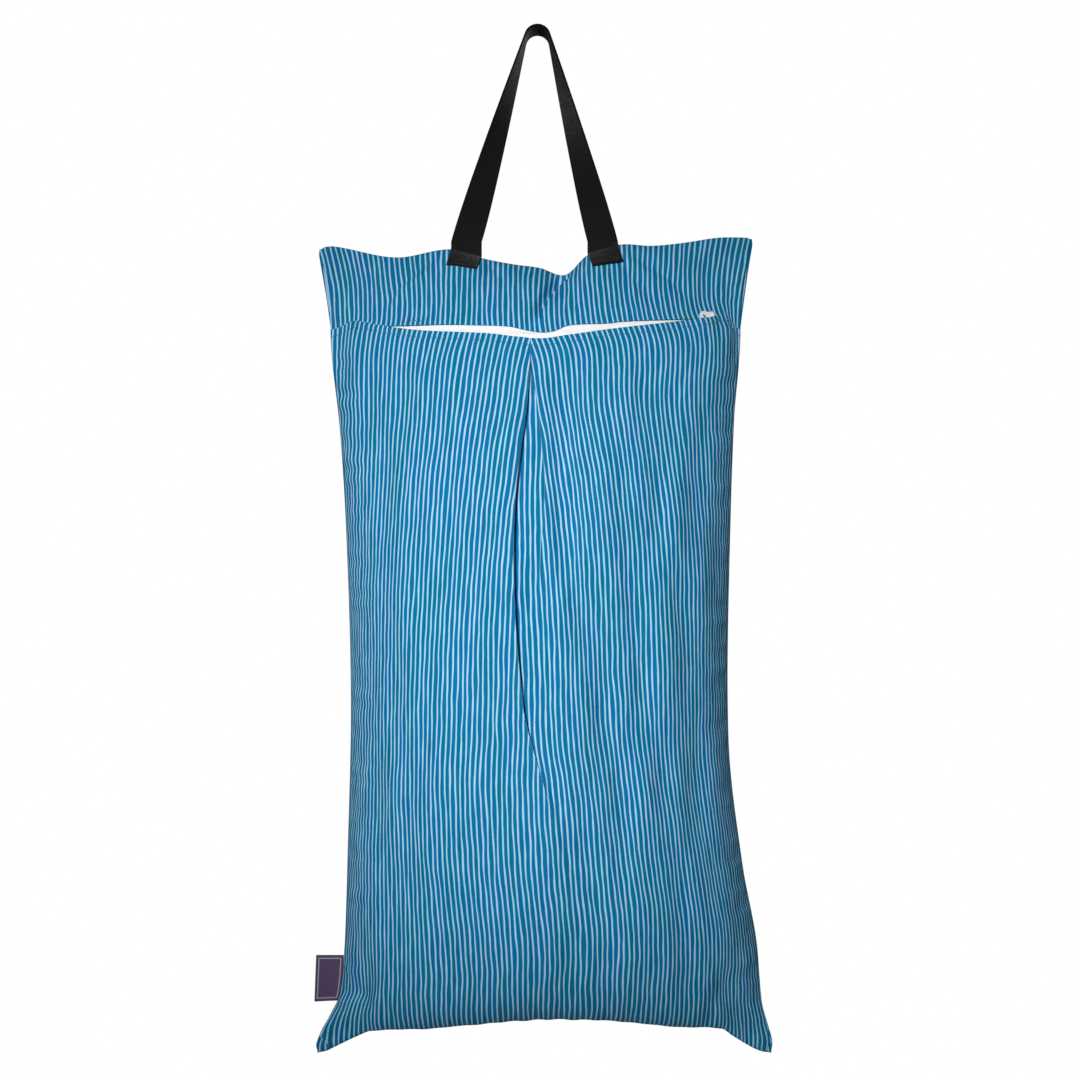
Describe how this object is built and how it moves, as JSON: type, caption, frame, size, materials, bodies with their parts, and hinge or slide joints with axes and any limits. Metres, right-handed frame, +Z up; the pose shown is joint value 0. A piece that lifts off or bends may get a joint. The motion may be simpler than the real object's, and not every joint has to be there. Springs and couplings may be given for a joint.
{
  "type": "hanging zip bag",
  "caption": "Stuffed fabric pillow bag that hangs by a twisted webbing loop, with a curved zip across the front, an inverted pleat below it, flat corner ears and a side label.",
  "frame": {"origin": "centre of the peg that the webbing loop hangs on, on the axis of the loop's arch", "axes": "+Z up; the front with the zip faces -Y; +X is to the right as seen from the front; the peg runs along Y"},
  "size_m": [0.394, 0.169, 0.8805],
  "materials": {
    "webbing": "matte",
    "black_thread": "matte",
    "striped_fabric": "matte",
    "zip_tape": "matte",
    "zip_coil": "satin",
    "slider_enamel": "gloss",
    "blue_thread": "matte",
    "overlock_thread": "matte",
    "woven_label": "matte"
  },
  "bodies": {
    "strap": {"strap_loop": "webbing"},
    "bag": {"strap_end_left": "webbing", "strap_end_right": "webbing", "strap_stitching_left": "black_thread", "strap_stitching_right": "black_thread", "back_panel": "striped_fabric", "front_upper_panel": "striped_fabric", "front_lower_panel": "striped_fabric", "zip_tape_upper": "zip_tape", "zip_tape_lower": "zip_tape", "zip_coil_upper": "zip_coil", "zip_coil_lower": "zip_coil", "zip_bottom_stop": "zip_coil", "zip_top_stop_upper": "zip_coil", "zip_top_stop_lower": "zip_coil", "zip_topstitch": "blue_thread", "seam_allowance_left": "overlock_thread", "seam_allowance_right": "overlock_thread", "seam_allowance_bottom": "overlock_thread", "seam_allowance_top": "overlock_thread"},
    "slider": {"zip_slider": "slider_enamel"},
    "pull": {"zip_pull": "slider_enamel"},
    "label": {"side_label": "woven_label"}
  },
  "joints": [
    {"name": "handle_fold", "type": "hinge", "parent": "strap", "child": "bag", "pos_m": [0, -0.0021, -0.172], "axis": [1, 0, 0], "range_deg": [-90, 90]},
    {"name": "zip_slide", "type": "hinge", "parent": "bag", "child": "slider", "pos_m": [0.00029, 0.25176, -0.11367], "axis": [-0.0173, -0.4336, 0.9009], "range_deg": [-52.62, 0]},
    {"name": "pull_swing", "type": "hinge", "parent": "slider", "child": "pull", "pos_m": [0.14924, -0.01253, -0.23645], "axis": [-0.3483, 0.3041, 0.8867], "range_deg": [0, 165]},
    {"name": "label_flap", "type": "hinge", "parent": "bag", "child": "label", "pos_m": [-0.1707, 0, -0.8045], "axis": [0.1587, 0, 0.9873], "range_deg": [-75, 75]}
  ]
}
